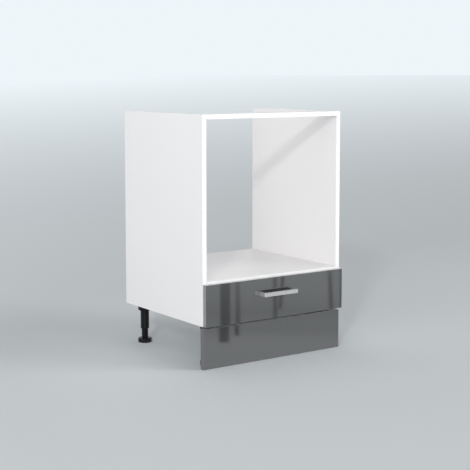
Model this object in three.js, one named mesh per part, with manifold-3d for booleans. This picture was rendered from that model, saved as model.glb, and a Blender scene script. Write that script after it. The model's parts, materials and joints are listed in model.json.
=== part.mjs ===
// Base oven housing unit: an open oven compartment over one drawer, on four adjustable legs with a plinth.
// Millimetres, +Z up, front towards -Y. The origin is on the floor, below the middle of the bounding box.
// Inside the assembly group, y = 0 is the plane of the carcass's front edges.

import * as THREE from 'three';
import Module from 'manifold-3d';
import { mergeVertices } from 'three/addons/utils/BufferGeometryUtils.js';

// ---------------------------------------------------------------- driving dimensions

// Carcass
const CABINET_WIDTH = 600;
const CARCASS_HEIGHT = 720;
const CARCASS_DEPTH = 520;
const BOARD = 16;
const EDGE_BAND = 1;
const SHELF_TOP_HEIGHT = 153; // oven shelf's top face above the carcass's underside
const RAIL_DEPTH = 70;
const BACK_THICKNESS = 3;
const BACK_INSET = 10; // back panel's rear face to the carcass's rear edges
const GROOVE_DEPTH = 5.5;

// Glued dowels
const DOWEL_RADIUS = 4;
const DOWEL_LENGTH = 30;
const DOWEL_IN_SIDE = 10; // the part of a dowel that sits in the side panel
const DOWEL_CHAMFER = 0.8;
const DOWEL_INSET = 64; // first and last dowel to the board's front and rear
const RAIL_DOWEL_INSET = 19;

// Adjustable legs
const LEG_HEIGHT = 150; // floor to the carcass's underside
const LEG_SIDE_INSET = 58; // leg axis to the cabinet's outer side
const LEG_FRONT_INSET = 60;
const LEG_REAR_INSET = 37;
const LEG_PLATE_SIZE = 64;
const LEG_PLATE_THICKNESS = 4;
const COLLAR_HEIGHT = 24;
const COLLAR_TOP_RADIUS = 26;
const COLLAR_FOOT_RADIUS = 24;
const SLEEVE_RADIUS = 16;
const SLEEVE_WALL = 3.2;
const SLEEVE_ROOF = 3;
const SLEEVE_BOTTOM = 52.5; // above the floor
const FOOT_RADIUS = 25.5;
const FOOT_HEIGHT = 17;
const FOOT_LOBES = 10;
const FOOT_LOBE_DEPTH = 1.8;
const FOOT_EDGE_ROUND = 3;
const SPINDLE_TOP = 108; // above the floor, inside the sleeve
const SPINDLE_CHAMFER = 1;

// Plinth
const PLINTH_THICKNESS = 18;
const PLINTH_FLOOR_GAP = 1;
const PLINTH_TOP_GAP = 9;
const PLINTH_END_GAP = 1;
const CLIP_HEIGHT = 24;
const CLIP_BOTTOM = 84; // above the floor
const CLIP_WALL = 3;
const CLIP_BASE_WIDTH = 50;
const CLIP_STEM_WIDTH = 16;
const CLIP_JAW_LENGTH = 7; // straight part of the jaws, behind the leg's axis

// Drawer front and handle
const FRONT_THICKNESS = 16;
const FRONT_HEIGHT = 144.5;
const FRONT_BOTTOM_GAP = 0.5; // front's lower edge above the carcass's underside
const FRONT_SIDE_GAP = 1;
const FRONT_GAP = 2; // behind the closed front
const HANDLE_LENGTH = 146;
const HANDLE_HEIGHT = 14;
const HANDLE_PROJECTION = 30;
const HANDLE_BAR_DEPTH = 8;
const HANDLE_POST_WIDTH = 10;
const HANDLE_CORNER = 2.5;
const HANDLE_DROP = 53; // front's top edge to the handle's centre line
const HANDLE_SCREW_RADIUS = 2;
const HANDLE_SCREW_REACH = 12; // the screw's length inside the post
const SCREW_HEAD_RADIUS = 4;
const SCREW_HEAD_HEIGHT = 2.5;
const SCREW_HEAD_CHAMFER = 1;
const BUMPER_RADIUS = 5;
const BUMPER_DROP = 22; // front's top edge to the bumper's centre

// Steel drawer sides and roller runners
const SHEET = 1.2;
const RUNNER_SETBACK = 3; // runner's front end behind the carcass's front edges
const RUNNER_BACK_GAP = 4; // runner's rear end to the back panel
const RUNNER_LIFT = 12; // lowest metal above the bottom panel
const RUNNER_FLANGE = 10.3;
const RUNNER_LIP = 3;
const TRACK_HEIGHT = 18.8; // clear height between the runner's two flanges
const RUNNER_NOSE = 28; // length at the front without an upper flange, for the roller
const RUNNER_TOP_MARGIN = 12.8; // web above the upper flange
const STOP_TAB_DEPTH = 4;
const DRAWER_TRAVEL = 375;
const ROLLER_RADIUS = 9;
const ROLLER_WIDTH = 7;
const ROLLER_CHAMFER = 0.6;
const ROLLER_SIDE_GAP = 2.8; // roller's outer face to the carcass side
const AXLE_RADIUS = 2.5;
const AXLE_HEAD_RADIUS = 4;
const AXLE_HEAD_THICKNESS = 0.8;
const CABINET_ROLLER_INSET = 14; // front roller's axis behind the runner's front end
const DRAWER_ROLLER_INSET = 12; // rear roller's axis ahead of the drawer side's rear end
const DRAWER_REAR_GAP = 5; // drawer's rear end ahead of the runner's
const DRAWER_SIDE_OFFSET = 14.3; // steel wall's outer face to the carcass side
const DRAWER_SIDE_HEIGHT = 86;
const RIDE_FLANGE_GAP = 1.1; // drawer's riding flange above the runner's upper flange, and beside its web
const SIDE_FLOOR_FLANGE = 11.5; // flange below the drawer bottom
const SIDE_HEM_WIDTH = 5;
const SIDE_HEM_DROP = 12;
const DRAWER_BOARD = 16; // drawer bottom and back
const DRAWER_BACK_DROP = 1; // back's top edge below the steel sides' top
const BRACKET_SHEET = 2;
const BRACKET_WIDTH = 22;
const BRACKET_REACH = 60;
const BRACKET_HEIGHT = 50;
const BRACKET_LIFT = 7; // above the drawer bottom

// Clearances and roundness
const FIT = 0.3; // between pieces that sit in, on or beside each other
const WALL_PLAY = 0.3; // drawer boards to the steel sides
const OVERSHOOT = 1; // how far a cutting tool runs past the face that it opens
const FINE = 32; // sides of a leg's circles
const PLAIN = 20; // sides of small circles
const LOBE_STEPS = 6; // outline points for each lobe of a foot
const CORNER_STEPS = 6;

// ---------------------------------------------------------------- derived levels and planes

const sideOuter = CABINET_WIDTH / 2;
const sideInner = sideOuter - BOARD;
const bottomUnder = LEG_HEIGHT;
const bottomTop = bottomUnder + BOARD;
const carcassTop = bottomUnder + CARCASS_HEIGHT;
const shelfTop = bottomUnder + SHELF_TOP_HEIGHT;
const shelfUnder = shelfTop - BOARD;
const frontBack = -FRONT_GAP;
const frontFace = frontBack - FRONT_THICKNESS;
const frontBottom = bottomUnder + FRONT_BOTTOM_GAP;
const frontTop = frontBottom + FRONT_HEIGHT;
const handleFace = frontFace - HANDLE_PROJECTION;
const handleLevel = frontTop - HANDLE_DROP;
const handleScrewX = (HANDLE_LENGTH - HANDLE_POST_WIDTH) / 2;
const backRear = CARCASS_DEPTH - BACK_INSET;
const plinthBack = frontBack + PLINTH_THICKNESS;
const legX = sideOuter - LEG_SIDE_INSET;
const frontLegY = LEG_FRONT_INSET;
const rearLegY = CARCASS_DEPTH - LEG_REAR_INSET;
const collarBottom = bottomUnder - LEG_PLATE_THICKNESS - COLLAR_HEIGHT;
const runnerFloor = bottomTop + RUNNER_LIFT;
const track = runnerFloor + SHEET;
const upperFlange = track + TRACK_HEIGHT;
const runnerFront = RUNNER_SETBACK;
const runnerRear = backRear - BACK_THICKNESS - RUNNER_BACK_GAP;
const cabinetRollerY = runnerFront + CABINET_ROLLER_INSET;
const drawerRear = runnerRear - DRAWER_REAR_GAP;
const drawerRollerY = drawerRear - DRAWER_ROLLER_INSET;
const drawerRollerZ = track + FIT + ROLLER_RADIUS;
const drawerFlange = upperFlange + SHEET + RIDE_FLANGE_GAP;
const cabinetRollerZ = drawerFlange - FIT - ROLLER_RADIUS;
const drawerSideTop = runnerFloor + DRAWER_SIDE_HEIGHT;
const drawerFloor = runnerFloor + SHEET + DRAWER_BOARD;
const drawerInner = sideInner - DRAWER_SIDE_OFFSET - SHEET;

// ---------------------------------------------------------------- materials

function finish(color, roughness, metalness = 0) {
  return () => new THREE.MeshStandardMaterial({ color, roughness, metalness });
}

const whiteMelamine = finish(0xe8e9ea, 0.45);
const whiteBand = finish(0xf7f7f7, 0.35);
const whiteBoard = finish(0xe4e4e2, 0.6);
const beech = finish(0xc9a57a, 0.7);
const greyLacquer = finish(0x54575a, 0.08);
const brushedMetal = finish(0xbfc1c0, 0.35, 1);
const coatedSteel = finish(0xe2e3e4, 0.4);
const zincSteel = finish(0xa9acae, 0.35, 1);
const whitePlastic = finish(0xf0f0ee, 0.5);
const blackPlastic = finish(0x17181a, 0.5);
const clearRubber = finish(0xd8d8d4, 0.6);

// ---------------------------------------------------------------- solids

const wasm = await Module();
wasm.setup();

function toSolid(geometry) {
  const bare = geometry.clone();
  bare.deleteAttribute('normal');
  bare.deleteAttribute('uv');
  const merged = mergeVertices(bare);
  const corners = [];
  for (let i = 0; i < merged.index.count; i += 3) {
    const [a, b, c] = [0, 1, 2].map((k) => merged.index.getX(i + k));
    if (a !== b && b !== c && c !== a) corners.push(a, b, c);
  }
  return new wasm.Manifold(new wasm.Mesh({
    numProp: 3,
    vertProperties: new Float32Array(merged.attributes.position.array),
    triVerts: new Uint32Array(corners),
  }));
}

function toGeometry(solid) {
  const { vertProperties, triVerts } = solid.getMesh();
  const geometry = new THREE.BufferGeometry();
  geometry.setAttribute('position', new THREE.BufferAttribute(vertProperties, 3));
  geometry.setIndex(new THREE.BufferAttribute(triVerts, 1));
  geometry.computeVertexNormals();
  return geometry;
}

function join(...geometries) {
  return toGeometry(geometries.map(toSolid).reduce((a, b) => a.add(b)));
}

function cut(geometry, ...tools) {
  return toGeometry(tools.map(toSolid).reduce((a, b) => a.subtract(b), toSolid(geometry)));
}

function box([x0, x1], [y0, y1], [z0, z1]) {
  const geometry = new THREE.BoxGeometry(Math.abs(x1 - x0), y1 - y0, z1 - z0);
  return geometry.translate((x0 + x1) / 2, (y0 + y1) / 2, (z0 + z1) / 2);
}

// A rod along X from x0 to x1.
function rodX(radius, x0, x1, y, z, sides = PLAIN) {
  const geometry = new THREE.CylinderGeometry(radius, radius, Math.abs(x1 - x0), sides);
  return geometry.rotateZ(Math.PI / 2).translate((x0 + x1) / 2, y, z);
}

// A rod along Y from y0 to y1.
function rodY(radius, y0, y1, x, z, sides = PLAIN) {
  const geometry = new THREE.CylinderGeometry(radius, radius, Math.abs(y1 - y0), sides);
  return geometry.translate(x, (y0 + y1) / 2, z);
}

// A turned piece about Z, from [radius, z] pairs.
function turned(profile, sides = FINE) {
  const points = profile.map(([r, z]) => new THREE.Vector2(r, z));
  return new THREE.LatheGeometry(points, sides).rotateX(Math.PI / 2);
}

// A turned piece about X: [radius, distance inwards] pairs, measured from the carcass side's inner face.
function turnedFromSide(side, profile, y, z) {
  const points = profile.map(([r, inwards]) => new THREE.Vector2(r, inwards));
  const geometry = new THREE.LatheGeometry(points, PLAIN);
  return geometry.rotateZ(side * Math.PI / 2).translate(side * sideInner, y, z);
}

// An outline in plan, extruded upwards from z0 to z1.
function slab(shape, z0, z1, options = {}) {
  const geometry = new THREE.ExtrudeGeometry(shape, { depth: z1 - z0, bevelEnabled: false, ...options });
  return geometry.translate(0, 0, z0);
}

// ---------------------------------------------------------------- assembly

const group = new THREE.Group();
const assembly = new THREE.Group();
assembly.position.y = -(CARCASS_DEPTH + handleFace) / 2;
group.add(assembly);

function piece(name, geometry, material) {
  const mesh = new THREE.Mesh(geometry, material());
  mesh.name = name;
  assembly.add(mesh);
  return mesh;
}

const SIDES = [
  { name: 'left', side: -1 },
  { name: 'right', side: 1 },
];

// [x0, x1] of a piece measured inwards from the carcass side's inner face, lower value first.
function inwards(side, from, to) {
  const ends = [side * (sideInner - from), side * (sideInner - to)];
  return ends.sort((a, b) => a - b);
}

// ---------------------------------------------------------------- carcass

const crossBoards = [
  { name: 'bottom', node: 'bottom_panel', z: bottomUnder, depth: CARCASS_DEPTH, inset: DOWEL_INSET },
  { name: 'shelf', node: 'oven_shelf', z: shelfUnder, depth: CARCASS_DEPTH, inset: DOWEL_INSET },
  { name: 'rail', node: 'top_front_rail', z: carcassTop - BOARD, depth: RAIL_DEPTH, inset: RAIL_DOWEL_INSET },
];

function dowelYs({ depth, inset }) {
  return [
    { name: 'front', y: inset },
    { name: 'rear', y: depth - inset },
  ];
}

function dowelBore(side, board, y) {
  const outer = side * (sideInner + DOWEL_IN_SIDE + FIT);
  const inner = side * (sideInner - (DOWEL_LENGTH - DOWEL_IN_SIDE) - FIT);
  return rodX(DOWEL_RADIUS + FIT, outer, inner, y, board.z + BOARD / 2);
}

function dowel(side, board, y) {
  const reach = DOWEL_LENGTH - DOWEL_IN_SIDE;
  const end = DOWEL_RADIUS - DOWEL_CHAMFER;
  return turnedFromSide(side, [
    [0, -DOWEL_IN_SIDE],
    [end, -DOWEL_IN_SIDE],
    [DOWEL_RADIUS, DOWEL_CHAMFER - DOWEL_IN_SIDE],
    [DOWEL_RADIUS, reach - DOWEL_CHAMFER],
    [end, reach],
    [0, reach],
  ], y, board.z + BOARD / 2);
}

function allBores(side) {
  return crossBoards.flatMap((board) => dowelYs(board).map(({ y }) => dowelBore(side, board, y)));
}

// One groove, cut through all four boards round the back panel.
const backGroove = box(
  [-sideInner - GROOVE_DEPTH, sideInner + GROOVE_DEPTH],
  [backRear - BACK_THICKNESS - FIT, backRear + FIT],
  [bottomTop - GROOVE_DEPTH, shelfUnder + GROOVE_DEPTH],
);

for (const { name, side } of SIDES) {
  const xs = [side * sideInner, side * sideOuter].sort((a, b) => a - b);
  const board = box(xs, [EDGE_BAND, CARCASS_DEPTH], [bottomUnder, carcassTop]);
  piece(`${name}_side_panel`, cut(board, backGroove, ...allBores(side)), whiteMelamine);
  piece(`${name}_side_edge_band`, box(xs, [0, EDGE_BAND], [bottomUnder, carcassTop]), whiteBand);
}

for (const board of crossBoards) {
  const xs = [-sideInner, sideInner];
  const zs = [board.z, board.z + BOARD];
  const blank = box(xs, [EDGE_BAND, board.depth], zs);
  const bores = SIDES.flatMap(({ side }) => dowelYs(board).map(({ y }) => dowelBore(side, board, y)));
  piece(board.node, cut(blank, backGroove, ...bores), whiteMelamine);
  piece(`${board.name}_edge_band`, box(xs, [0, EDGE_BAND], zs), whiteBand);
  for (const { name, side } of SIDES) {
    for (const row of dowelYs(board)) {
      piece(`${board.name}_dowel_${name}_${row.name}`, dowel(side, board, row.y), beech);
    }
  }
}

const tongue = GROOVE_DEPTH - FIT;
piece('lower_back_panel', box(
  [-sideInner - tongue, sideInner + tongue],
  [backRear - BACK_THICKNESS, backRear],
  [bottomTop - tongue, shelfUnder + tongue],
), whiteBoard);

// ---------------------------------------------------------------- legs

function legPlate() {
  const half = LEG_PLATE_SIZE / 2;
  const plate = box([-half, half], [-half, half], [bottomUnder - LEG_PLATE_THICKNESS, bottomUnder]);
  const collarTop = bottomUnder - LEG_PLATE_THICKNESS;
  const plateMiddle = bottomUnder - LEG_PLATE_THICKNESS / 2;
  const collar = turned([
    [0, collarBottom],
    [COLLAR_FOOT_RADIUS, collarBottom],
    [COLLAR_TOP_RADIUS, collarTop],
    [COLLAR_TOP_RADIUS, plateMiddle],
    [0, plateMiddle],
  ]);
  const socket = SLEEVE_RADIUS + FIT;
  const mouth = collarBottom - OVERSHOOT;
  const bore = turned([[0, mouth], [socket, mouth], [socket, collarTop], [0, collarTop]]);
  return cut(join(plate, collar), bore);
}

function legSleeve() {
  const top = bottomUnder - LEG_PLATE_THICKNESS - FIT;
  const bore = SLEEVE_RADIUS - SLEEVE_WALL;
  return turned([
    [0, top - SLEEVE_ROOF],
    [bore, top - SLEEVE_ROOF],
    [bore, SLEEVE_BOTTOM],
    [SLEEVE_RADIUS, SLEEVE_BOTTOM],
    [SLEEVE_RADIUS, top],
    [0, top],
  ]);
}

// The foot disc's outline: evenly spaced lobes for the fingers.
function lobedOutline(radius) {
  const steps = FOOT_LOBES * LOBE_STEPS;
  const points = [];
  for (let i = 0; i < steps; i += 1) {
    const angle = (i / steps) * 2 * Math.PI;
    const r = radius - FOOT_LOBE_DEPTH * (0.5 - 0.5 * Math.cos(FOOT_LOBES * angle)) ** 2;
    points.push(new THREE.Vector2(r * Math.cos(angle), r * Math.sin(angle)));
  }
  return new THREE.Shape(points);
}

function foot() {
  const outline = lobedOutline(FOOT_RADIUS - FOOT_EDGE_ROUND);
  const disc = slab(outline, FOOT_EDGE_ROUND, FOOT_HEIGHT - FOOT_EDGE_ROUND, {
    bevelEnabled: true,
    bevelThickness: FOOT_EDGE_ROUND,
    bevelSize: FOOT_EDGE_ROUND,
    bevelSegments: 2,
  });
  const radius = SLEEVE_RADIUS - SLEEVE_WALL - FIT;
  const root = FOOT_HEIGHT / 2;
  const spindle = turned([
    [0, root],
    [radius, root],
    [radius, SPINDLE_TOP - SPINDLE_CHAMFER],
    [radius - SPINDLE_CHAMFER, SPINDLE_TOP],
    [0, SPINDLE_TOP],
  ]);
  return join(disc, spindle);
}

const legs = [
  { name: 'front_left', x: -legX, y: frontLegY },
  { name: 'front_right', x: legX, y: frontLegY },
  { name: 'rear_left', x: -legX, y: rearLegY },
  { name: 'rear_right', x: legX, y: rearLegY },
];

for (const { name, x, y } of legs) {
  const parts = { leg_plate: legPlate(), leg_sleeve: legSleeve(), leg_foot: foot() };
  for (const [part, geometry] of Object.entries(parts)) {
    piece(`${part}_${name}`, geometry, blackPlastic).position.set(x, y, 0);
  }
}

// ---------------------------------------------------------------- plinth

piece('plinth_board', box(
  [-sideOuter + PLINTH_END_GAP, sideOuter - PLINTH_END_GAP],
  [frontBack, plinthBack],
  [PLINTH_FLOOR_GAP, bottomUnder - PLINTH_TOP_GAP],
), greyLacquer);

// A fork that opens to the rear and holds the front leg's sleeve. Its origin is the leg's axis.
function plinthClip() {
  const gap = SLEEVE_RADIUS + FIT;
  const outer = gap + CLIP_WALL;
  const zs = [CLIP_BOTTOM, CLIP_BOTTOM + CLIP_HEIGHT];
  const fork = new THREE.Shape();
  fork.moveTo(outer, 0);
  fork.lineTo(outer, CLIP_JAW_LENGTH);
  fork.lineTo(gap, CLIP_JAW_LENGTH);
  fork.lineTo(gap, 0);
  fork.absarc(0, 0, gap, 0, Math.PI, true);
  fork.lineTo(-gap, CLIP_JAW_LENGTH);
  fork.lineTo(-outer, CLIP_JAW_LENGTH);
  fork.lineTo(-outer, 0);
  fork.absarc(0, 0, outer, -Math.PI, 0, false);
  const start = plinthBack - frontLegY;
  const half = CLIP_STEM_WIDTH / 2;
  const stemEnd = -gap - CLIP_WALL / 2;
  const base = box([-CLIP_BASE_WIDTH / 2, CLIP_BASE_WIDTH / 2], [start, start + CLIP_WALL], zs);
  const stem = box([-half, half], [start, stemEnd], zs);
  return join(slab(fork, ...zs, { curveSegments: PLAIN }), base, stem);
}

for (const { name, side } of SIDES) {
  piece(`plinth_clip_${name}`, plinthClip(), blackPlastic).position.set(side * legX, frontLegY, 0);
}

// ---------------------------------------------------------------- cabinet runners and their rollers

function cabinetRunner(side) {
  const ys = [runnerFront, runnerRear];
  const reach = SHEET + RUNNER_FLANGE;
  const web = box(inwards(side, 0, SHEET), ys, [runnerFloor, upperFlange + RUNNER_TOP_MARGIN]);
  const floor = box(inwards(side, 0, reach), ys, [runnerFloor, track]);
  const lip = box(inwards(side, reach - SHEET, reach), ys, [runnerFloor, track + RUNNER_LIP]);
  const roofYs = [runnerFront + RUNNER_NOSE, ys[1]];
  const roof = box(inwards(side, 0, reach), roofYs, [upperFlange, upperFlange + SHEET]);
  const stopLevel = upperFlange - STOP_TAB_DEPTH;
  const rise = stopLevel - drawerRollerZ;
  const stopY = drawerRollerY - DRAWER_TRAVEL - Math.sqrt(ROLLER_RADIUS ** 2 - rise ** 2) - FIT;
  const stop = box(inwards(side, 0, reach), [stopY - SHEET, stopY], [stopLevel, upperFlange + SHEET]);
  const through = inwards(side, -OVERSHOOT, SHEET + OVERSHOOT);
  const pivot = rodX(AXLE_RADIUS + FIT, ...through, cabinetRollerY, cabinetRollerZ);
  return cut(join(web, floor, lip, roof, stop), pivot);
}

function roller(side, y, z) {
  const bore = AXLE_RADIUS + FIT;
  const rim = ROLLER_RADIUS - ROLLER_CHAMFER;
  const start = ROLLER_SIDE_GAP;
  const end = start + ROLLER_WIDTH;
  return turnedFromSide(side, [
    [bore, start],
    [rim, start],
    [ROLLER_RADIUS, start + ROLLER_CHAMFER],
    [ROLLER_RADIUS, end - ROLLER_CHAMFER],
    [rim, end],
    [bore, end],
    [bore, start],
  ], y, z);
}

// The axle of a cabinet roller is held in the runner's web. A shoulder and a head keep the roller.
function cabinetAxle(side) {
  const shoulder = ROLLER_SIDE_GAP - FIT;
  const head = ROLLER_SIDE_GAP + ROLLER_WIDTH + FIT;
  return turnedFromSide(side, [
    [0, FIT],
    [AXLE_RADIUS, FIT],
    [AXLE_RADIUS, SHEET + FIT],
    [AXLE_HEAD_RADIUS, SHEET + FIT],
    [AXLE_HEAD_RADIUS, shoulder],
    [AXLE_RADIUS, shoulder],
    [AXLE_RADIUS, head],
    [AXLE_HEAD_RADIUS, head],
    [AXLE_HEAD_RADIUS, head + AXLE_HEAD_THICKNESS],
    [0, head + AXLE_HEAD_THICKNESS],
  ], cabinetRollerY, cabinetRollerZ);
}

// The axle of a drawer roller is held in the drawer side's steel wall.
function drawerAxle(side) {
  const head = ROLLER_SIDE_GAP - FIT;
  const shoulder = ROLLER_SIDE_GAP + ROLLER_WIDTH + FIT;
  return turnedFromSide(side, [
    [0, head - AXLE_HEAD_THICKNESS],
    [AXLE_HEAD_RADIUS, head - AXLE_HEAD_THICKNESS],
    [AXLE_HEAD_RADIUS, head],
    [AXLE_RADIUS, head],
    [AXLE_RADIUS, shoulder],
    [AXLE_HEAD_RADIUS, shoulder],
    [AXLE_HEAD_RADIUS, DRAWER_SIDE_OFFSET - FIT],
    [AXLE_RADIUS, DRAWER_SIDE_OFFSET - FIT],
    [AXLE_RADIUS, DRAWER_SIDE_OFFSET + SHEET],
    [0, DRAWER_SIDE_OFFSET + SHEET],
  ], drawerRollerY, drawerRollerZ);
}

for (const { name, side } of SIDES) {
  piece(`cabinet_runner_${name}`, cabinetRunner(side), coatedSteel);
  piece(`cabinet_axle_${name}`, cabinetAxle(side), zincSteel);
  piece(`cabinet_roller_${name}`, roller(side, cabinetRollerY, cabinetRollerZ), whitePlastic);
  piece(`drawer_axle_${name}`, drawerAxle(side), zincSteel);
  piece(`drawer_roller_${name}`, roller(side, drawerRollerY, drawerRollerZ), whitePlastic);
}

// ---------------------------------------------------------------- drawer

function drawerSide(side) {
  const ys = [frontBack, drawerRear];
  const outer = DRAWER_SIDE_OFFSET;
  const inner = outer + SHEET;
  const hem = inner - SIDE_HEM_WIDTH;
  const wall = box(inwards(side, outer, inner), ys, [runnerFloor, drawerSideTop]);
  const floor = box(inwards(side, outer, inner + SIDE_FLOOR_FLANGE), ys, [runnerFloor, runnerFloor + SHEET]);
  const ride = box(inwards(side, SHEET + RIDE_FLANGE_GAP, inner), ys, [drawerFlange, drawerFlange + SHEET]);
  const top = box(inwards(side, hem, inner), ys, [drawerSideTop - SHEET, drawerSideTop]);
  const skirt = box(inwards(side, hem, hem + SHEET), ys, [drawerSideTop - SIDE_HEM_DROP, drawerSideTop]);
  const through = inwards(side, outer - OVERSHOOT, inner + OVERSHOOT);
  const pivot = rodX(AXLE_RADIUS + FIT, ...through, drawerRollerY, drawerRollerZ);
  return cut(join(wall, floor, ride, top, skirt), pivot);
}

// An angle: its plate lies behind the front, its arm along the steel side's inner face.
function frontBracket(side) {
  const start = DRAWER_SIDE_OFFSET + SHEET + WALL_PLAY;
  const zs = [drawerFloor + BRACKET_LIFT, drawerFloor + BRACKET_LIFT + BRACKET_HEIGHT];
  const plate = box(inwards(side, start, start + BRACKET_WIDTH), [frontBack, frontBack + BRACKET_SHEET], zs);
  const arm = box(inwards(side, start, start + BRACKET_SHEET), [frontBack, frontBack + BRACKET_REACH], zs);
  return join(plate, arm);
}

for (const { name, side } of SIDES) {
  piece(`drawer_side_${name}`, drawerSide(side), coatedSteel);
  piece(`front_bracket_${name}`, frontBracket(side), zincSteel);
  const bumperX = side * (sideInner + BOARD / 2);
  const bumperY = frontBack + FRONT_GAP - FIT;
  const bumper = rodY(BUMPER_RADIUS, frontBack, bumperY, bumperX, frontTop - BUMPER_DROP);
  piece(`front_bumper_${name}`, bumper, clearRubber);
}

const boardXs = [-drawerInner + WALL_PLAY, drawerInner - WALL_PLAY];
piece('drawer_bottom', box(
  boardXs,
  [frontBack, drawerRear],
  [runnerFloor + SHEET, drawerFloor],
), whiteMelamine);
piece('drawer_back', box(
  boardXs,
  [drawerRear - DRAWER_BOARD, drawerRear],
  [drawerFloor, drawerSideTop - DRAWER_BACK_DROP],
), whiteMelamine);

const frontBlank = box(
  [-sideOuter + FRONT_SIDE_GAP, sideOuter - FRONT_SIDE_GAP],
  [frontFace, frontBack],
  [frontBottom, frontTop],
);
const screwBore = HANDLE_SCREW_RADIUS + FIT;
const frontBores = SIDES.map(({ side }) => rodY(
  screwBore,
  frontFace - OVERSHOOT,
  frontBack + OVERSHOOT,
  side * handleScrewX,
  handleLevel,
));
piece('drawer_front', cut(frontBlank, ...frontBores), greyLacquer);

// ---------------------------------------------------------------- handle

// A square bow in plan: a bar with a post at each end, both corners rounded.
function handleOutline() {
  const half = HANDLE_LENGTH / 2;
  const post = half - HANDLE_POST_WIDTH;
  const inner = handleFace + HANDLE_BAR_DEPTH;
  const corner = handleFace + HANDLE_CORNER;
  const shape = new THREE.Shape();
  shape.moveTo(half, frontFace);
  shape.lineTo(post, frontFace);
  shape.lineTo(post, inner);
  shape.lineTo(-post, inner);
  shape.lineTo(-post, frontFace);
  shape.lineTo(-half, frontFace);
  shape.lineTo(-half, corner);
  shape.absarc(-half + HANDLE_CORNER, corner, HANDLE_CORNER, Math.PI, 1.5 * Math.PI, false);
  shape.lineTo(half - HANDLE_CORNER, handleFace);
  shape.absarc(half - HANDLE_CORNER, corner, HANDLE_CORNER, 1.5 * Math.PI, 2 * Math.PI, false);
  return shape;
}

const bow = slab(
  handleOutline(),
  handleLevel - HANDLE_HEIGHT / 2,
  handleLevel + HANDLE_HEIGHT / 2,
  { curveSegments: CORNER_STEPS },
);
const postBores = SIDES.map(({ side }) => rodY(
  screwBore,
  frontFace - HANDLE_SCREW_REACH - FIT,
  frontFace + OVERSHOOT,
  side * handleScrewX,
  handleLevel,
));
piece('handle', cut(bow, ...postBores), brushedMetal);

// A pan-head screw from inside the drawer, through the front into the handle's post.
function handleScrew() {
  const tip = FRONT_THICKNESS + HANDLE_SCREW_REACH;
  const geometry = new THREE.LatheGeometry([
    [0, -SCREW_HEAD_HEIGHT],
    [SCREW_HEAD_RADIUS - SCREW_HEAD_CHAMFER, -SCREW_HEAD_HEIGHT],
    [SCREW_HEAD_RADIUS, 0],
    [HANDLE_SCREW_RADIUS, 0],
    [HANDLE_SCREW_RADIUS, tip],
    [0, tip],
  ].map(([r, y]) => new THREE.Vector2(r, y)), PLAIN);
  return geometry.rotateZ(Math.PI);
}

for (const { name, side } of SIDES) {
  const screw = piece(`handle_screw_${name}`, handleScrew(), zincSteel);
  screw.position.set(side * handleScrewX, frontBack, handleLevel);
}

export default group;
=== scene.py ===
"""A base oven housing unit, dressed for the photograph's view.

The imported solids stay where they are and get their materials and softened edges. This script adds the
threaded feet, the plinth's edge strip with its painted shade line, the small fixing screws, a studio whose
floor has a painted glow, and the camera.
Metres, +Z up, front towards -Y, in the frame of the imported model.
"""

import json
import math

import bpy
from mathutils import Matrix, Vector


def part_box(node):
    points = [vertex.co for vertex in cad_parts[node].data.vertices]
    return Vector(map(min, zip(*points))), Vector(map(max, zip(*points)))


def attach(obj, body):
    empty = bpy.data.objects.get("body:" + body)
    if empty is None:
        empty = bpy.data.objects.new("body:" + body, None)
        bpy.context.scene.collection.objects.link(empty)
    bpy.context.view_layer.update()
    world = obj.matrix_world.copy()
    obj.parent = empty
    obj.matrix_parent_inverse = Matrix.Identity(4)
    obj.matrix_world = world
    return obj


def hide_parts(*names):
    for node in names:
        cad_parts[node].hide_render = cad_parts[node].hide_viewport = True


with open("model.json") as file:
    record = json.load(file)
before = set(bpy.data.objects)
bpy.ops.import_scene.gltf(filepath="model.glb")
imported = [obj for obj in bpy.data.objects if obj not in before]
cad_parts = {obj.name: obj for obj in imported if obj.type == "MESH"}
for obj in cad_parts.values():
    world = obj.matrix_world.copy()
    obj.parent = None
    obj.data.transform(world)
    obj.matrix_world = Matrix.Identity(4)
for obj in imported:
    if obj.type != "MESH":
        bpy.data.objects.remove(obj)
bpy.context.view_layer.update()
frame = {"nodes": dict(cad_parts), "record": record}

MM = 0.001
SIDES = {"left": -1, "right": 1}
LEGS = ("front_left", "front_right", "rear_left", "rear_right")


# ---------------------------------------------------------------- materials


def surface(name, color, roughness, **sockets):
    """A Principled material. The other values are named after the shader's sockets."""
    material = bpy.data.materials.new(name)
    material.use_nodes = True
    shader = material.node_tree.nodes["Principled BSDF"]
    shader.inputs["Base Color"].default_value = (*color, 1)
    shader.inputs["Roughness"].default_value = roughness
    for socket, value in sockets.items():
        shader.inputs[socket.replace("_", " ")].default_value = value
    return material


def feed(tree, socket, value):
    """Links an input to another node's output, or sets it to a plain value."""
    if isinstance(value, bpy.types.NodeSocket):
        tree.links.new(value, socket)
    else:
        socket.default_value = value


def add(tree, kind, *inputs, **values):
    """A new node. Inputs feed its sockets in their order, values its settings or the sockets they name."""
    node = tree.nodes.new(kind)
    for name, value in values.items():
        if hasattr(node, name):
            setattr(node, name, value)
        else:
            feed(tree, node.inputs[name.replace("_", " ")], value)
    for socket, value in zip(node.inputs, inputs):
        feed(tree, socket, value)
    return node


def noise(material, per_metre, stretch=(1, 1, 1), detail=3):
    """A noise in the object's own metres. A stretch below 1 draws it out along that axis."""
    tree = material.node_tree
    place = add(tree, "ShaderNodeTexCoord").outputs["Object"]
    stretched = add(tree, "ShaderNodeMapping", Vector=place, Scale=stretch).outputs["Vector"]
    texture = add(tree, "ShaderNodeTexNoise", Vector=stretched, Scale=per_metre, Detail=detail)
    return texture.outputs["Fac"]


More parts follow.
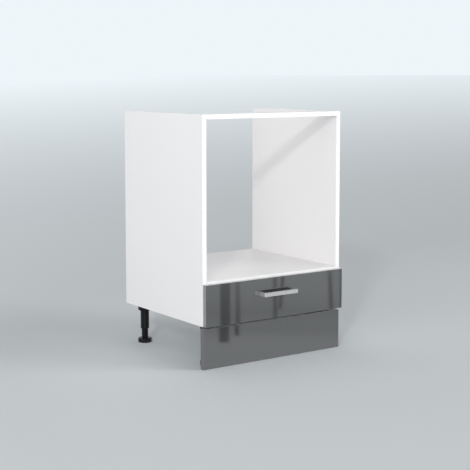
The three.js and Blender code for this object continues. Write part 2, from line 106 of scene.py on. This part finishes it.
def relief(material, texture, height, strength=0.3):
    """Bumps from a noise, height metres high."""
    tree = material.node_tree
    bump = add(tree, "ShaderNodeBump", Height=texture, Strength=strength, Distance=height)
    feed(tree, tree.nodes["Principled BSDF"].inputs["Normal"], bump.outputs["Normal"])


NOISE_SPAN = (0.3, 0.7)  # the range that most of a noise lies in
TONE_STEPS = (0.35, 0.65)  # the noise below which the dark tone is plain, and above which the light one is


def uneven(material, texture, low, high):
    """Roughness that follows a noise, from low to high."""
    tree = material.node_tree
    least, most = NOISE_SPAN
    spread = add(
        tree, "ShaderNodeMapRange", Value=texture, From_Min=least, From_Max=most, To_Min=low, To_Max=high
    )
    feed(tree, tree.nodes["Principled BSDF"].inputs["Roughness"], spread.outputs["Result"])


def two_tone(material, texture, dark, light):
    """Base colour that follows a noise between two tones."""
    tree = material.node_tree
    ramp = add(tree, "ShaderNodeValToRGB", Fac=texture)
    for stop, position, tone in zip(ramp.color_ramp.elements, TONE_STEPS, (dark, light)):
        stop.position = position
        stop.color = (*tone, 1)
    feed(tree, tree.nodes["Principled BSDF"].inputs["Base Color"], ramp.outputs["Color"])


def white_melamine():
    material = surface("white_melamine", (0.865, 0.852, 0.854), 0.42)
    pearl = noise(material, 900)
    relief(material, pearl, 0.05 * MM)
    uneven(material, pearl, 0.38, 0.46)
    return material


def white_edge_band():
    material = surface("white_edge_band", (0.93, 0.93, 0.93), 0.34)
    pearl = noise(material, 700)
    relief(material, pearl, 0.03 * MM)
    uneven(material, pearl, 0.3, 0.38)
    return material


def white_hardboard():
    material = surface("white_hardboard", (0.8, 0.8, 0.79), 0.58)
    fibre = noise(material, 500, detail=6)
    relief(material, fibre, 0.08 * MM)
    uneven(material, fibre, 0.5, 0.66)
    return material


def beech():
    material = surface("beech", (0.55, 0.36, 0.2), 0.65)
    pores = noise(material, 1400, stretch=(0.08, 1, 1), detail=5)
    two_tone(material, pores, (0.42, 0.26, 0.13), (0.6, 0.41, 0.24))
    relief(material, pores, 0.08 * MM)
    uneven(material, pores, 0.55, 0.75)
    return material


def grey_lacquer():
    material = surface(
        "grey_lacquer", (0.03, 0.032, 0.033), 0.03, IOR=2.3, Coat_Weight=1.0, Coat_Roughness=0.02
    )
    haze = noise(material, 14, detail=2)
    relief(material, haze, 0.02 * MM, strength=0.05)
    uneven(material, haze, 0.02, 0.035)
    return material


def brushed_metal():
    material = surface("brushed_metal", (0.655, 0.655, 0.645), 0.3, Metallic=0.8)
    lines = noise(material, 2600, stretch=(0.02, 1, 1), detail=2)
    relief(material, lines, 0.03 * MM, strength=0.25)
    uneven(material, lines, 0.24, 0.38)
    return material


def coated_steel():
    material = surface("coated_steel", (0.79, 0.8, 0.81), 0.36)
    peel = noise(material, 450)
    relief(material, peel, 0.06 * MM)
    uneven(material, peel, 0.3, 0.42)
    return material


def zinc_steel():
    material = surface("zinc_steel", (0.6, 0.61, 0.63), 0.32, Metallic=1.0)
    spangle = noise(material, 600, detail=4)
    two_tone(material, spangle, (0.52, 0.53, 0.55), (0.66, 0.67, 0.68))
    relief(material, spangle, 0.03 * MM)
    uneven(material, spangle, 0.26, 0.4)
    return material


def white_plastic():
    material = surface("white_plastic", (0.83, 0.83, 0.81), 0.42)
    skin = noise(material, 1200)
    relief(material, skin, 0.03 * MM)
    uneven(material, skin, 0.36, 0.48)
    return material


def black_plastic():
    material = surface("black_plastic", (0.004, 0.0045, 0.005), 0.36, Specular_IOR_Level=0.2)
    skin = noise(material, 1100)
    relief(material, skin, 0.05 * MM)
    uneven(material, skin, 0.3, 0.42)
    return material


# A matt cut edge whose grey is darkened to paint the shade line in the gap below the drawer.
def matt_edge_painted_shade():
    material = surface("matt_edge_painted_shade", (0.3, 0.305, 0.31), 0.55)
    skin = noise(material, 900)
    relief(material, skin, 0.04 * MM)
    uneven(material, skin, 0.48, 0.62)
    return material


def clear_rubber():
    material = surface("clear_rubber", (0.78, 0.78, 0.76), 0.4, Transmission_Weight=0.35)
    skin = noise(material, 800)
    relief(material, skin, 0.03 * MM)
    uneven(material, skin, 0.34, 0.46)
    return material


MATERIALS = {
    "white_melamine": white_melamine(),
    "white_edge_band": white_edge_band(),
    "white_hardboard": white_hardboard(),
    "beech": beech(),
    "grey_lacquer": grey_lacquer(),
    "brushed_metal": brushed_metal(),
    "coated_steel": coated_steel(),
    "zinc_steel": zinc_steel(),
    "white_plastic": white_plastic(),
    "black_plastic": black_plastic(),
    "clear_rubber": clear_rubber(),
}

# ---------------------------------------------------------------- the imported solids

SOFT_EDGE = {
    "white_melamine": 0.4 * MM,
    "white_edge_band": 0.3 * MM,
    "white_hardboard": 0.2 * MM,
    "grey_lacquer": 1.0 * MM,
    "brushed_metal": 0.7 * MM,
    "coated_steel": 0.25 * MM,
    "zinc_steel": 0.2 * MM,
    "white_plastic": 0.2 * MM,
    "black_plastic": 0.5 * MM,
    "clear_rubber": 0.3 * MM,
    "beech": 0.2 * MM,
}
FLAT_FINISHES = ("white_melamine", "white_edge_band", "white_hardboard", "grey_lacquer", "brushed_metal")
WELD = 0.01 * MM
SHARP_ANGLE = math.radians(35)
FLAT_ANGLE = math.radians(0.5)
BEVEL_SEGMENTS = 2
LARGE_FACE_WEIGHT = 80  # how strongly large faces set the shading, 50 being even


def soften(piece, finish):
    """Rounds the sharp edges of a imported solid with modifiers, so that its own mesh stays as it is."""
    flat = finish in FLAT_FINISHES
    piece.modifiers.new("weld", "WELD").merge_threshold = WELD
    if flat:
        join = piece.modifiers.new("flat_faces", "DECIMATE")
        join.decimate_type = "DISSOLVE"
        join.angle_limit = FLAT_ANGLE
    bevel = piece.modifiers.new("soft_edge", "BEVEL")
    bevel.width = SOFT_EDGE[finish]
    bevel.segments = BEVEL_SEGMENTS
    bevel.limit_method = "ANGLE"
    bevel.angle_limit = SHARP_ANGLE
    bevel.use_clamp_overlap = True
    bevel.harden_normals = flat
    if not flat:
        piece.modifiers.new("normals", "WEIGHTED_NORMAL").weight = LARGE_FACE_WEIGHT


for subpart in frame["record"]["subparts"]:
    node = frame["nodes"][subpart["node"]]
    finish = subpart["material_slot"]
    node.material_slots[0].material = MATERIALS[finish]
    soften(node, finish)


# ---------------------------------------------------------------- mesh helpers


def new_piece(name, verts, faces, finish, body, smooth=True, material=None):
    """A piece from points in the row frame. It rides on a CAD body and takes the material of that finish,
    unless it is given one.
    """
    mesh = bpy.data.meshes.new(name)
    mesh.from_pydata([tuple(v) for v in verts], [], faces)
    mesh.validate()
    mesh.polygons.foreach_set("use_smooth", [smooth] * len(mesh.polygons))
    mesh.materials.append(material or MATERIALS[finish])
    piece = bpy.data.objects.new(name, mesh)
    bpy.context.scene.collection.objects.link(piece)
    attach(piece, body)
    return piece


def rings(loops):
    """A closed body from rings of points. Each ring has as many points as the next."""
    verts = [v for loop in loops for v in loop]
    count = len(loops[0])
    faces = []
    for row in range(len(loops) - 1):
        for i in range(count):
            j = (i + 1) % count
            a, b = row * count, (row + 1) * count
            faces.append((a + i, a + j, b + j, b + i))
    faces.append(tuple(reversed(range(count))))
    faces.append(tuple(range((len(loops) - 1) * count, len(loops) * count)))
    return verts, faces


def merged(parts):
    """Several lists of points and faces as one."""
    verts, faces = [], []
    for more_verts, more_faces in parts:
        start = len(verts)
        verts += more_verts
        faces += [tuple(start + i for i in face) for face in more_faces]
    return verts, faces


def placed(part, matrix):
    """A list of points and faces, moved by a matrix."""
    verts, faces = part
    return [matrix @ Vector(v) for v in verts], faces


# ---------------------------------------------------------------- small screws

SCREW_SIDES = 24
HEAD_PROFILE = ((1, 0), (1, 0.45), (0.86, 0.85), (0.6, 1))  # shares of the head's radius and height
RECESS_RIM = 0.5  # share of the head's radius
RECESS_FLOOR = 0.42  # share of the head's radius
RECESS_DEPTH = 0.5  # share of the head's height
CROSS_WAIST = 0.6  # how far the recess draws in between the arms of its cross
RUNNER_SHEET = 1.2 * MM
RUNNER_SCREW_DROP = 5 * MM  # below the web's upper edge
RUNNER_SCREW_SHARES = (0.09, 0.45, 0.86)  # along the runner
FLANGE_SCREW_INSET = 4.5 * MM  # from the flange's inner edge
FLANGE_SCREW_SHARES = (0.08, 0.36, 0.64, 0.92)  # along the drawer's side
BRACKET_SHEET = 2 * MM
BRACKET_SCREW_INSET = 6.5 * MM  # from the bracket's inner edge
BRACKET_SCREW_MARGIN = 12 * MM  # from the bracket's lower and upper edges
BRACKET_ARM_MARGIN = 14 * MM  # from the rear end of the bracket's arm
CLIP_WALL = 3 * MM
CLIP_SCREW_STEP = 20 * MM  # from the middle of the clip


def screw_head(radius, height):
    """A low pan head on z = 0, with a cross-shaped recess."""

    def circle(r, z, cross=0):
        loop = []
        for i in range(SCREW_SIDES):
            angle = 2 * math.pi * i / SCREW_SIDES
            reach = r * (1 - cross * (1 - math.cos(2 * angle) ** 2))
            loop.append((reach * math.cos(angle), reach * math.sin(angle), z))
        return loop

    loops = [circle(out * radius, up * height) for out, up in HEAD_PROFILE]
    loops.append(circle(RECESS_RIM * radius, height, CROSS_WAIST))
    loops.append(circle(RECESS_FLOOR * radius, height - RECESS_DEPTH * height, CROSS_WAIST))
    return rings(loops)


def pointing(direction):
    """A turn that takes +Z to that direction."""
    return Vector(direction).to_track_quat("Z", "Y").to_matrix().to_4x4()


def screws(name, body, spots, direction, radius=3.2 * MM, height=1.6 * MM):
    """Screw heads that stand on a face, one at each spot, as one piece."""
    head = screw_head(radius, height)
    turn = pointing(direction)
    parts = [placed(head, Matrix.Translation(spot) @ turn) for spot in spots]
    return new_piece(name, *merged(parts), "zinc_steel", body)


def inner_and_outer(low, high):
    """A box's distances from the part's middle plane to its inner and outer faces."""
    return sorted((abs(low.x), abs(high.x)))


def runner_screws(side_name, side):
    """Through the runner's web into the carcass side, above the upper flange."""
    low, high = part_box(f"cabinet_runner_{side_name}")
    outer = inner_and_outer(low, high)[1]
    x = side * (outer - RUNNER_SHEET)
    z = high.z - RUNNER_SCREW_DROP
    spots = [(x, low.y + share * (high.y - low.y), z) for share in RUNNER_SCREW_SHARES]
    screws(f"runner_screws_{side_name}", "carcass", spots, (-side, 0, 0), radius=3 * MM, height=0.9 * MM)


def drawer_floor_screws(side_name, side):
    """Through the floor flange of the steel side into the drawer's bottom."""
    low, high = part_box(f"drawer_side_{side_name}")
    inner = inner_and_outer(low, high)[0]
    x = side * (inner + FLANGE_SCREW_INSET)
    spots = [(x, low.y + share * (high.y - low.y), low.z) for share in FLANGE_SCREW_SHARES]
    name = f"drawer_floor_screws_{side_name}"
    screws(name, "drawer", spots, (0, 0, -1), radius=2.6 * MM, height=1.2 * MM)


def bracket_screws(side_name, side):
    """Two through the bracket's plate into the front, two through its arm into the steel side."""
    low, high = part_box(f"front_bracket_{side_name}")
    inner, outer = inner_and_outer(low, high)
    plate_x = side * (inner + BRACKET_SCREW_INSET)
    plate_y = low.y + BRACKET_SHEET
    arm_x = side * (outer - BRACKET_SHEET)
    arm_y = high.y - BRACKET_ARM_MARGIN
    heights = (low.z + BRACKET_SCREW_MARGIN, high.z - BRACKET_SCREW_MARGIN)
    in_plate = [(plate_x, plate_y, z) for z in heights]
    in_arm = [(arm_x, arm_y, z) for z in heights]
    screws(f"bracket_front_screws_{side_name}", "drawer", in_plate, (0, 1, 0))
    screws(f"bracket_side_screws_{side_name}", "drawer", in_arm, (-side, 0, 0))


def clip_screws(side_name):
    """Through the clip's base into the plinth, on both sides of the fork."""
    low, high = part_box(f"plinth_clip_{side_name}")
    middle = (low + high) / 2
    spots = [(middle.x + step, low.y + CLIP_WALL, middle.z) for step in (-CLIP_SCREW_STEP, CLIP_SCREW_STEP)]
    screws(f"clip_screws_{side_name}", "plinth", spots, (0, 1, 0), radius=2.8 * MM)


for side_name, side in SIDES.items():
    runner_screws(side_name, side)
    drawer_floor_screws(side_name, side)
    bracket_screws(side_name, side)
    clip_screws(side_name)

# ---------------------------------------------------------------- legs

FOOT_SIDES = 120
FOOT_HEIGHT = 17 * MM
FOOT_TOP_EDGE = 3.2 * MM
FOOT_UNDER_EDGE = 1.2 * MM
EDGE_STEPS = 4  # of each rounded edge
FOOT_TOP_RING = 0.62  # the innermost ring of the disc's top, as a share of its radius
LOBES = 10
LOBE_DEPTH = 1.8 * MM
# Each foot stands where its thread left it. The front left one has a dip between its lobes at the
# plinth's end.
FOOT_TURNS = {
    "front_left": math.pi / LOBES,
    "front_right": math.radians(6),
    "rear_left": 0,
    "rear_right": math.radians(-5),
}
SPINDLE_SIDES = 48
SPINDLE_ROOT = 1 * MM  # how far the spindle starts below the disc's top
THREAD_PITCH = 4.0 * MM
THREAD_DEPTH = 0.9 * MM
THREAD_STEPS = 10  # rings in each turn of the thread
THREAD_RUNOUT = 2 * MM  # where the thread fades out, at both ends
GROOVE_HALF_WIDTH = 0.28  # share of the pitch
GROOVE_STEEPNESS = 1.6  # above 1, the groove has a flat floor
SLEEVE_WALL = 3.5 * MM  # with the play between the sleeve and the spindle
LEG_PLATE_THICKNESS = 4 * MM
LEG_SCREW_STEP = 25 * MM  # from the leg's axis, both ways


def disc_profile(radius):
    """Heights and radii of the disc's rings, from its underside to its top."""
    profile = []
    for step in range(EDGE_STEPS + 1):
        angle = step / EDGE_STEPS * math.pi / 2
        reach = radius - FOOT_UNDER_EDGE * (1 - math.sin(angle))
        profile.append((FOOT_UNDER_EDGE * (1 - math.cos(angle)), reach))
    for step in range(EDGE_STEPS + 1):
        angle = step / EDGE_STEPS * math.pi / 2
        reach = radius - FOOT_TOP_EDGE * (1 - math.cos(angle))
        profile.append((FOOT_HEIGHT - FOOT_TOP_EDGE * (1 - math.sin(angle)), reach))
    profile.append((FOOT_HEIGHT, FOOT_TOP_RING * radius))
    return profile


def lobed_disc(radius, centre, turn):
    """The foot's disc with its finger lobes and soft edges."""
    loops = []
    for z, reach in disc_profile(radius):
        loop = []
        for i in range(FOOT_SIDES):
            angle = 2 * math.pi * i / FOOT_SIDES
            dip = (0.5 - 0.5 * math.cos(LOBES * (angle - turn))) ** 2 * LOBE_DEPTH * reach / radius
            r = reach - dip
            loop.append((centre.x + r * math.cos(angle), centre.y + r * math.sin(angle), z))
        loops.append(loop)
    return rings(loops)


def threaded_spindle(radius, low, high, centre):
    """A round spindle with a coarse helical thread that fades out at its ends."""
    rows = int((high - low) / THREAD_PITCH * THREAD_STEPS)
    loops = []
    for row in range(rows + 1):
        z = low + (high - low) * row / rows
        fade = min(1, (z - low) / THREAD_RUNOUT, (high - z) / THREAD_RUNOUT)
        loop = []
        for i in range(SPINDLE_SIDES):
            angle = 2 * math.pi * i / SPINDLE_SIDES
            phase = ((z - low) / THREAD_PITCH - i / SPINDLE_SIDES) % 1
            groove = max(0, 1 - abs(phase - 0.5) / GROOVE_HALF_WIDTH)
            r = radius - THREAD_DEPTH * min(1, GROOVE_STEEPNESS * groove) * fade
            loop.append((centre.x + r * math.cos(angle), centre.y + r * math.sin(angle), z))
        loops.append(loop)
    return rings(loops)


def threaded_foot(leg):
    """A leg's foot with its thread, in place of the plain one."""
    low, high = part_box(f"leg_foot_{leg}")
    centre = (low + high) / 2
    disc = lobed_disc((high.x - low.x) / 2, centre, FOOT_TURNS[leg])
    sleeve_low, sleeve_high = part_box(f"leg_sleeve_{leg}")
    radius = (sleeve_high.x - sleeve_low.x) / 2 - SLEEVE_WALL
    spindle = threaded_spindle(radius, FOOT_HEIGHT - SPINDLE_ROOT, high.z, centre)
    foot = new_piece(f"threaded_foot_{leg}", *merged([disc, spindle]), "black_plastic", f"foot_{leg}")
    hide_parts(f"leg_foot_{leg}")


def leg_screws(leg):
    """Through the corners of the leg's plate into the carcass's underside."""
    low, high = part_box(f"leg_plate_{leg}")
    middle = (low + high) / 2
    under = high.z - LEG_PLATE_THICKNESS
    steps = (-LEG_SCREW_STEP, LEG_SCREW_STEP)
    spots = [(middle.x + i, middle.y + j, under) for i in steps for j in steps]
    screws(f"leg_screws_{leg}", "carcass", spots, (0, 0, -1), radius=3.4 * MM, height=1.8 * MM)


for leg in LEGS:
    threaded_foot(leg)
    leg_screws(leg)

# ---------------------------------------------------------------- plinth

STRIP_THICKNESS = 0.5 * MM
STRIP_ROUND = 0.2 * MM


def plinth_strip():
    """A matt grey strip on the board's upper edge, darkened to paint the shade line in the gap below the
    drawer, which shows as an even dark line there.
    """
    low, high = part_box("plinth_board")
    outline = (
        (low.x + STRIP_ROUND, low.y + STRIP_ROUND),
        (high.x - STRIP_ROUND, low.y + STRIP_ROUND),
        (high.x - STRIP_ROUND, high.y - STRIP_ROUND),
        (low.x + STRIP_ROUND, high.y - STRIP_ROUND),
    )
    verts, faces = rings([
        [(x, y, high.z) for x, y in outline],
        [(x, y, high.z + STRIP_THICKNESS) for x, y in outline],
    ])
    strip = new_piece(
        "plinth_edge_strip", verts, faces, "grey_lacquer", "plinth", smooth=False, material=matt_edge_painted_shade()
    )
    bevel = strip.modifiers.new("soft_edge", "BEVEL")
    bevel.width = STRIP_ROUND
    bevel.segments = BEVEL_SEGMENTS


plinth_strip()

# ---------------------------------------------------------------- camera

CAMERA_PLACE = Vector((-2.42763, -3.45419, 1.01034))
CAMERA_PITCH = math.radians(5.479)  # below the horizon
CAMERA_YAW = math.radians(35.092)  # from +Y towards +X
FOCAL_LENGTH = 88.58  # millimetres, as the sensor's width
SENSOR_WIDTH = 36
LENS_SHIFT = -0.11  # share of the picture's side
PICTURE_SIDE = 470  # pixels

camera_data = bpy.data.cameras.new("photo_camera")
camera_data.lens = FOCAL_LENGTH
camera_data.sensor_width = SENSOR_WIDTH
camera_data.shift_y = LENS_SHIFT
camera = bpy.data.objects.new("photo_camera", camera_data)
camera.location = CAMERA_PLACE
camera.rotation_euler = (math.pi / 2 - CAMERA_PITCH, 0, -CAMERA_YAW)
bpy.context.scene.collection.objects.link(camera)
bpy.context.scene.camera = camera


def sight_line(column, row):
    """The direction in which the camera sees that place of the picture, in pixels from its upper left."""
    focal_pixels = FOCAL_LENGTH / SENSOR_WIDTH * PICTURE_SIDE
    right = column - PICTURE_SIDE / 2
    up = (0.5 + LENS_SHIFT) * PICTURE_SIDE - row
    return (camera.rotation_euler.to_matrix() @ Vector((right, up, -focal_pixels))).normalized()


# ---------------------------------------------------------------- studio

NEAR_FLOOR = (0.727, 0.768, 0.788)
FAR_GLOW = (0.847, 0.914, 0.947)
FLOOR_SIZE = 600  # metres, so that its far edge passes for the horizon
GLOW_START = 1.9  # metres from the part where the floor starts to lighten
GLOW_REACH = 10.1  # metres past that where half of the glow is reached
HORIZON_LIGHT = 0.963
ZENITH_LIGHT = 0.046
SIDE_SHADE = 0.48  # how fast the glow weakens from the left of the view to its right
SIDE_RANGE = 3.0  # metres from the part over which that comes in
# What the glossy faces mirror, by the slope of the mirrored ray: a dim band low down in front, and
# behind the unit a dark floor up to GLOSS_STEP with a bright room above it.
GLOSS_LOWEST = -0.25
GLOSS_FRONT = ((-0.228, 0.66), (-0.216, 0.47), (-0.204, 0.41), (-0.195, 0.505), (-0.18, 0.57), (0, 0.75))
GLOSS_STEP = (-0.2195, -0.2155)
GLOSS_REAR = (0.54, 1.14)
GLOSS_TINT = (0.96, 1, 1.03)


def calculate(tree, operation, *inputs, kind="ShaderNodeMath", **values):
    """The result of a math node."""
    return add(tree, kind, *inputs, operation=operation, **values).outputs["Value"]


def floor_paint():
    """A pale matt floor that turns into a painted glow with the distance from the part; painted shade keeps
    the glow least at the right of the view.
    """
    material = surface("studio_floor", NEAR_FLOOR, 0.9, Specular_IOR_Level=0.1)
    tree = material.node_tree
    place = add(tree, "ShaderNodeTexCoord").outputs["Object"]
    rightward = (math.cos(CAMERA_YAW), -math.sin(CAMERA_YAW), 0)
    away = calculate(tree, "LENGTH", place, kind="ShaderNodeVectorMath")
    aside = calculate(tree, "DOT_PRODUCT", place, rightward, kind="ShaderNodeVectorMath")
    past = calculate(tree, "SUBTRACT", away, GLOW_START)
    share = calculate(tree, "DIVIDE", past, calculate(tree, "ADD", past, GLOW_REACH))
    bearing = calculate(tree, "DIVIDE", aside, calculate(tree, "ADD", away, SIDE_RANGE))
    shaded = calculate(tree, "MULTIPLY_ADD", bearing, -SIDE_SHADE, share, use_clamp=True)
    matt = tree.nodes["Principled BSDF"].outputs["BSDF"]
    # painted glow: an emission that stands in for the lit far floor and backdrop
    glow = add(tree, "ShaderNodeEmission", Color=(*FAR_GLOW, 1)).outputs["Emission"]
    mix = add(tree, "ShaderNodeMixShader", shaded, matt, glow)
    feed(tree, tree.nodes["Material Output"].inputs["Surface"], mix.outputs["Shader"])
    return material


def quad(name, corners, material):
    """A flat piece with four corners."""
    mesh = bpy.data.meshes.new(name)
    mesh.from_pydata([tuple(corner) for corner in corners], [], [(0, 1, 2, 3)])
    mesh.materials.append(material)
    piece = bpy.data.objects.new(name, mesh)
    bpy.context.scene.collection.objects.link(piece)
    return piece


def studio_floor():
    """The floor, which glossy faces don't show: they mirror the room of the world instead."""
    half = FLOOR_SIZE / 2
    corners = [(-half, -half, 0), (half, -half, 0), (half, half, 0), (-half, half, 0)]
    floor = quad("studio_floor", corners, floor_paint())
    floor.visible_glossy = False
    return floor


def mirrored_room(tree, direction):
    """The brightness that glossy faces mirror, as the output of a node."""
    upward, rearward = direction.outputs["Z"], direction.outputs["Y"]
    slope = add(tree, "ShaderNodeMapRange", Value=upward, From_Min=GLOSS_LOWEST, From_Max=0)
    front = add(tree, "ShaderNodeValToRGB", Fac=slope.outputs["Result"])
    stops = front.color_ramp.elements
    while len(stops) < len(GLOSS_FRONT):
        stops.new(1)
    for stop, (level, brightness) in zip(stops, GLOSS_FRONT):
        stop.position = 1 - level / GLOSS_LOWEST
        stop.color = (brightness, brightness, brightness, 1)
    low, high = GLOSS_STEP
    dark, bright = GLOSS_REAR
    rear = add(
        tree, "ShaderNodeMapRange", Value=upward, From_Min=low, From_Max=high, To_Min=dark, To_Max=bright
    )
    behind = add(tree, "ShaderNodeMapRange", Value=rearward, From_Min=-1, From_Max=1)
    both = add(tree, "ShaderNodeMix", data_type="FLOAT", Factor=behind.outputs["Result"])
    feed(tree, both.inputs["A"], front.outputs["Color"])
    feed(tree, both.inputs["B"], rear.outputs["Result"])
    return both.outputs["Result"]


def studio_world():
    """Soft light from all round that fades towards the zenith. Glossy faces mirror a room of their own."""
    world = bpy.data.worlds.new("studio")
    bpy.context.scene.world = world
    world.use_nodes = True
    tree = world.node_tree
    place = add(tree, "ShaderNodeTexCoord").outputs["Generated"]
    direction = add(tree, "ShaderNodeSeparateXYZ", Vector=place)
    path = add(tree, "ShaderNodeLightPath")
    upward = direction.outputs["Z"]
    fade = add(tree, "ShaderNodeMapRange", Value=upward, To_Min=HORIZON_LIGHT, To_Max=ZENITH_LIGHT)
    light = tree.nodes["Background"]
    feed(tree, light.inputs["Color"], (1, 1, 1, 1))
    feed(tree, light.inputs["Strength"], fade.outputs["Result"])
    backdrop = add(tree, "ShaderNodeBackground", Color=(*FAR_GLOW, 1)).outputs["Background"]
    room = mirrored_room(tree, direction)
    gloss = add(tree, "ShaderNodeBackground", Color=(*GLOSS_TINT, 1), Strength=room).outputs["Background"]
    to_camera, to_gloss = path.outputs["Is Camera Ray"], path.outputs["Is Glossy Ray"]
    seen = add(tree, "ShaderNodeMixShader", to_camera, light.outputs["Background"], backdrop)
    mirrored = add(tree, "ShaderNodeMixShader", to_gloss, seen.outputs["Shader"], gloss)
    feed(tree, tree.nodes["World Output"].inputs["Surface"], mirrored.outputs["Shader"])


# Dark screens in front of the unit, which only glossy faces mirror. Each screen's image in the drawer's
# front: its column at the front's top edge and at its own foot, its width, the row of its foot, and its
# brightness low down and at the top.
SCREENS = (
    {"top": 225.0, "foot": 225.4, "width": 10.0, "foot_row": 343, "glow": (0.13, 0.25)},
    {"top": 237.2, "foot": 238.2, "width": 4.4, "foot_row": 336, "glow": (0.12, 0.38)},
    {"top": 274.8, "foot": 275.2, "width": 4.2, "foot_row": 320, "glow": (0.17, 0.33)},
    {"top": 284.2, "foot": 280.0, "width": 3.6, "foot_row": 309, "glow": (0.16, 0.28)},
    {"top": 329.4, "foot": 331.2, "width": 4.2, "foot_row": 309, "glow": (0.2, 0.3)},
    {"top": 341.0, "foot": 341.0, "width": 2.0, "foot_row": 309, "glow": (0.14, 0.14)},
)
SCREEN_DISTANCE = 10
SCREEN_TOP_ROW = 262
FADE_COLUMN = 270
FADE_ROWS = (320, 280)  # where the lower and the upper brightness are reached
ARM_CARD_DISTANCE = 4
ARM_CARD_SIZE = 3.0
ARM_CARD_LIGHT = 1.5


def mirror_image(column, row):
    """Where the sight line goes after the drawer's front, at the screens' distance from it."""
    line = sight_line(column, row)
    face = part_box("drawer_front")[0].y
    on_face = CAMERA_PLACE + line * (face - CAMERA_PLACE.y) / line.y
    line.y = -line.y
    return on_face - line * SCREEN_DISTANCE / line.y


def glossy_only(name, corners, brightness=1):
    """A flat glowing piece that nothing but a glossy face shows. Its material is handed back."""
    glow = {"Emission_Color": (1, 1, 1, 1), "Emission_Strength": brightness}
    material = surface(name, (0, 0, 0), 1, Specular_IOR_Level=0, **glow)
    piece = quad(name, corners, material)
    for ray in ("camera", "diffuse", "transmission", "volume_scatter", "shadow"):
        setattr(piece, f"visible_{ray}", False)
    return material


def screen(number, top, foot, width, foot_row, glow):
    """A screen, placed by where its image has to lie in the drawer's front."""
    places = (
        (foot - width / 2, foot_row),
        (foot + width / 2, foot_row),
        (top + width / 2, SCREEN_TOP_ROW),
        (top - width / 2, SCREEN_TOP_ROW),
    )
    corners = [mirror_image(column, row) for column, row in places]
    tree = glossy_only(f"screen_{number}", corners).node_tree
    place = add(tree, "ShaderNodeTexCoord").outputs["Object"]
    height = add(tree, "ShaderNodeSeparateXYZ", Vector=place).outputs["Z"]
    low, high = (mirror_image(FADE_COLUMN, row).z for row in FADE_ROWS)
    dark, bright = glow
    fade = add(
        tree, "ShaderNodeMapRange", Value=height, From_Min=low, From_Max=high, To_Min=dark, To_Max=bright
    )
    feed(tree, tree.nodes["Principled BSDF"].inputs["Emission Strength"], fade.outputs["Result"])


def arm_card():
    """A bright card low down at the front left, which lights the handle's arm by way of the gloss front."""
    low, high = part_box("handle")
    arm = Vector((low.x, (low.y + high.y) / 2, (low.z + high.z) / 2))
    line = (arm - CAMERA_PLACE).normalized()
    towards = Vector((-line.x, -line.y, line.z))
    middle = arm + towards * ARM_CARD_DISTANCE
    across = Vector((-towards.y, towards.x, 0)).normalized() * ARM_CARD_SIZE / 2
    up = across.cross(towards).normalized() * ARM_CARD_SIZE / 2
    corners = [middle - across - up, middle + across - up, middle + across + up, middle - across + up]
    glossy_only("arm_card", corners, ARM_CARD_LIGHT)


# The lamps: the bearing from straight ahead (left is negative) and the height above the horizon, both in
# degrees and seen from the unit, the distance, the side of the lamp, and the light it throws on the unit.
# Two stand so near and low that they would burn out the floor before them, so they leave the floor out.
LAMPS = {
    "key": {"bearing": -46, "height": 22.7, "distance": 15, "side": 1.1, "light": 0.634},
    "left_low": {
        "bearing": -45, "height": 6, "distance": 5, "side": 2.0, "light": 0.481, "lights_floor": False
    },
    "front_low": {
        "bearing": -15, "height": 5, "distance": 5, "side": 2.0, "light": 0.119, "lights_floor": False
    },
    "left_high": {"bearing": -55, "height": 30, "distance": 4.7, "side": 1.5, "light": 0.121},
    "left_top": {"bearing": -60, "height": 50, "distance": 5, "side": 3.0, "light": 0.393},
    "rear_top": {"bearing": 180, "height": 60, "distance": 5, "side": 3.0, "light": 0.165},
    "right_front": {"bearing": 45, "height": 20, "distance": 10, "side": 5.0, "light": 0.976},
    "right_low": {"bearing": 45, "height": 8, "distance": 10, "side": 5.0, "light": 0.387},
}
LIT_PLACE = Vector((0, 0, 0.45))


def all_but(piece):
    """A collection that stands for every piece except that one, for a lamp to light."""
    apart = bpy.data.collections.new(f"all_but_{piece.name}")
    apart.objects.link(piece)
    apart.collection_objects[0].light_linking.link_state = "EXCLUDE"
    return apart


not_the_floor = all_but(studio_floor())


def softbox(name, bearing, height, distance, side, light, lights_floor=True):
    """A square lamp that faces the unit."""
    data = bpy.data.lights.new(name, "AREA")
    data.shape = "SQUARE"
    data.size = side
    data.energy = light * math.pi * distance**2
    turn, rise = math.radians(bearing), math.radians(height)
    away = Vector((math.sin(turn) * math.cos(rise), -math.cos(turn) * math.cos(rise), math.sin(rise)))
    lamp = bpy.data.objects.new(name, data)
    lamp.location = LIT_PLACE + away * distance
    lamp.rotation_euler = (-away).to_track_quat("-Z", "Y").to_euler()
    bpy.context.scene.collection.objects.link(lamp)
    lamp.visible_glossy = False
    if not lights_floor:
        lamp.light_linking.receiver_collection = not_the_floor


studio_world()
for number, facts in enumerate(SCREENS, 1):
    screen(number, **facts)
arm_card()
for name, facts in LAMPS.items():
    softbox(name, **facts)

bpy.context.scene.view_settings.view_transform = "Standard"
